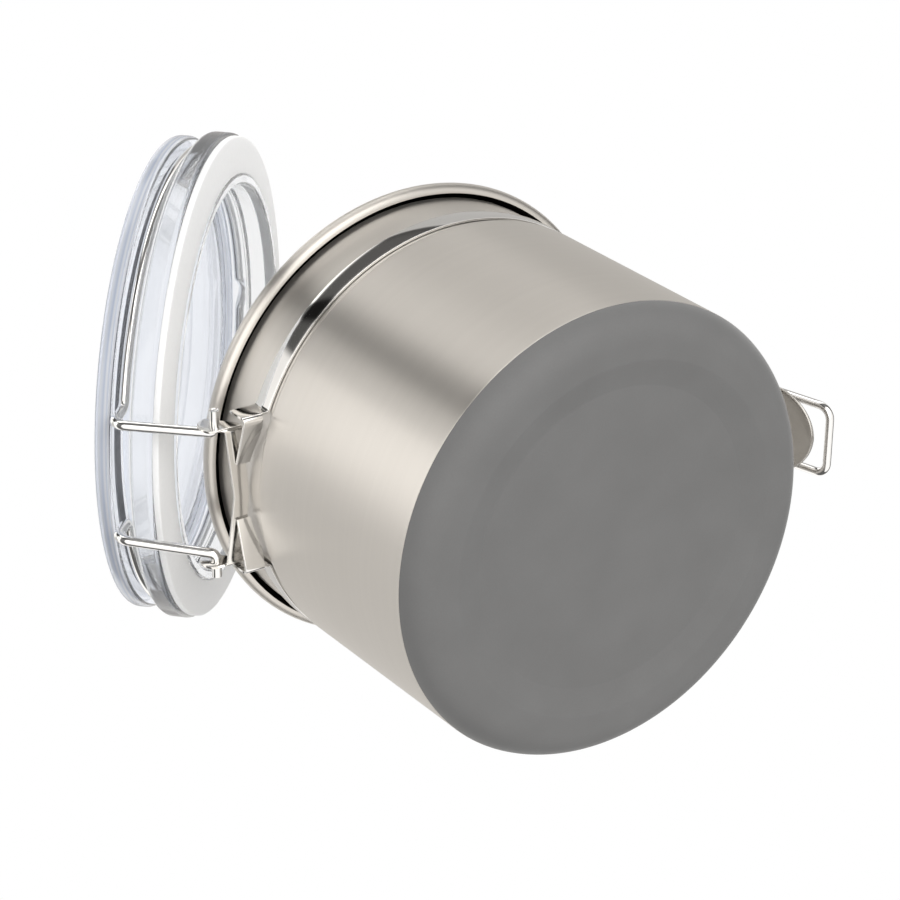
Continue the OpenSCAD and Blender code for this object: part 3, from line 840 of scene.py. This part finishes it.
# the studio: a pale floor, soft lamps, and a dim room with soft boxes and dark cards that only metal sees
studio = {
    "floor": 0.80,
    "ambient": 0.72,
    "room": 1.1,
    "warmth": (1.0, 0.975, 0.94),
    "softEdge": 25.0,
    # azimuth from +Y towards +X, half width, added brightness: a cool key, a second key and a wide fill
    "softBoxes": [(-90, 20, 1.2), (-25, 15, 1.0), (60, 60, 0.2)],
    "cardEdge": 6.0,
    # azimuth, half width, elevation, half height, how much light it takes away
    "cards": [(-57, 4, 0, 90, 0.9),  # between the two keys
              (0, 180, -3, 15, 0.9),  # the table's edge, all round
              (0, 180, 49, 10, 0.5),  # a grey scrim above, all round
              (-80, 45, 49, 10, 0.9)],  # a dark card above the keys
    # what clear plastic shows inside it
    "tent": (0.93, 0.95, 1.0),
    # place, size and watts
    "lamps": {"aboveLamp": ((-0.2, -0.5, 0.9), 0.9, 9.0), "belowLamp": ((-0.75, 0.25, -0.75), 0.8, 9.0)},
    # of the floor, in millimetres
    "flatTo": 300.0,
    "floorTo": 1500.0,
}


# A window on an angle, all in degrees: 1 within the half width of its centre, and down to 0 over a smooth edge.
def window(n, angle, centre, halfWidth, edge):
    off = n.add("Math", {"operation": "WRAP"}, i0=n.math("SUBTRACT", angle, centre), i1=180.0, i2=-180.0)
    away = n.math("ABSOLUTE", off)
    smooth = {"interpolation_type": "SMOOTHSTEP"}
    return n.add("MapRange", smooth, i0=away, i1=halfWidth + edge, i2=halfWidth, i3=0.0, i4=1.0)


# The camera and clear plastic see white, metal sees the room, and everything else an even light. The room's light is
# its own level, plus each soft box's window, times 1 - depth inside each card's window.
def makeStudio():
    scene = bpy.context.scene
    scene.view_settings.view_transform = "Standard"
    world = bpy.data.worlds.new("studio")
    scene.world = world
    world.use_nodes = True
    n = Nodes(world.node_tree)
    direction = n.add("SeparateXYZ", Vector=(n.add("TexCoord"), "Generated"))
    azimuth = n.math("DEGREES", n.math("ARCTAN2", (direction, "X"), (direction, "Y")))
    elevation = n.math("DEGREES", n.math("ARCSINE", (direction, "Z")))
    light = studio["room"]
    for centre, halfWidth, brightness in studio["softBoxes"]:
        box = window(n, azimuth, centre, halfWidth, studio["softEdge"])
        light = n.math("ADD", light, n.math("MULTIPLY", box, brightness))
    for centre, halfWidth, up, halfHeight, depth in studio["cards"]:
        across = window(n, azimuth, centre, halfWidth, studio["cardEdge"])
        card = n.math("MULTIPLY", across, window(n, elevation, up, halfHeight, studio["cardEdge"]))
        light = n.math("MULTIPLY", light, n.math("SUBTRACT", 1.0, n.math("MULTIPLY", card, depth)))
    room = n.add("Background", Color=studio["warmth"], Strength=light)
    tent = n.add("Background", Color=studio["tent"], Strength=1.0)
    white = n.add("Background", Color=(1.0, 1.0, 1.0), Strength=1.0)
    ambient = n.add("Background", Color=(1.0, 1.0, 1.0), Strength=studio["ambient"])
    path = n.add("LightPath")
    seen = n.math("MAXIMUM", (path, "Is Camera Ray"), (path, "Is Transmission Ray"))
    through = n.math("GREATER_THAN", (path, "Transmission Depth"), 0.5)
    mirrored = n.add("MixShader", i0=through, i1=room, i2=tent)
    inner = n.add("MixShader", i0=(path, "Is Glossy Ray"), i1=ambient, i2=mirrored)
    outer = n.add("MixShader", i0=seen, i1=inner, i2=white)
    n.feed(n.add("OutputWorld"), "Surface", outer)
    for name, (place, size, power) in studio["lamps"].items():
        data = bpy.data.lights.new(name, "AREA")
        data.size = size
        data.energy = power
        lamp = bpy.data.objects.new(name, data)
        lamp.location = place
        lamp.rotation_euler = (Vector((0, 0, 0.05)) - Vector(place)).to_track_quat("-Z", "Y").to_euler()
        lamp.visible_glossy = False
        lamp.visible_transmission = False
        scene.collection.objects.link(lamp)
    makeFloor()
    print("studio made")


# A round pale floor under the boot. Its underside is see-through, because the photo looks from below it.
def makeFloor():
    a = np.linspace(0, 2 * np.pi, 97)
    r = np.array([studio["floorTo"], studio["flatTo"], 0.0])
    points = np.stack([r * np.cos(a[:-1, None]), r * np.sin(a[:-1, None]), -0.05 + 0 * r + 0 * a[:-1, None]], 2)
    floor = meshFromGrid("floor", points, a, r, closeU=True)
    result = bpy.data.materials.new("floor")
    result.use_nodes = True
    n = Nodes(result.node_tree)
    pale = n.add("BsdfDiffuse", Color=(studio["floor"],) * 3)
    under = (n.add("NewGeometry"), "Backfacing")
    n.feed(n.add("OutputMaterial"), "Surface", n.add("MixShader", i0=under, i1=pale, i2=n.add("BsdfTransparent")))
    put(floor, result)
    floor.visible_shadow = False
    floor.visible_diffuse = False
    floor.visible_glossy = False


def finishHiddenNodes():
    for name in ("clasp_bracket", "clasp_pin"):
        put(nodes[name], polishedSteel(name + " steel", (0.79, 0.78, 0.76), 0.09))


makeCamera()
makeJar()
makeBoot()
makeStrap()
makeHinge()
makeLidCap()
makeSeal()
makeBail()
makeLever()
makeLoop()
finishHiddenNodes()
makeStudio()
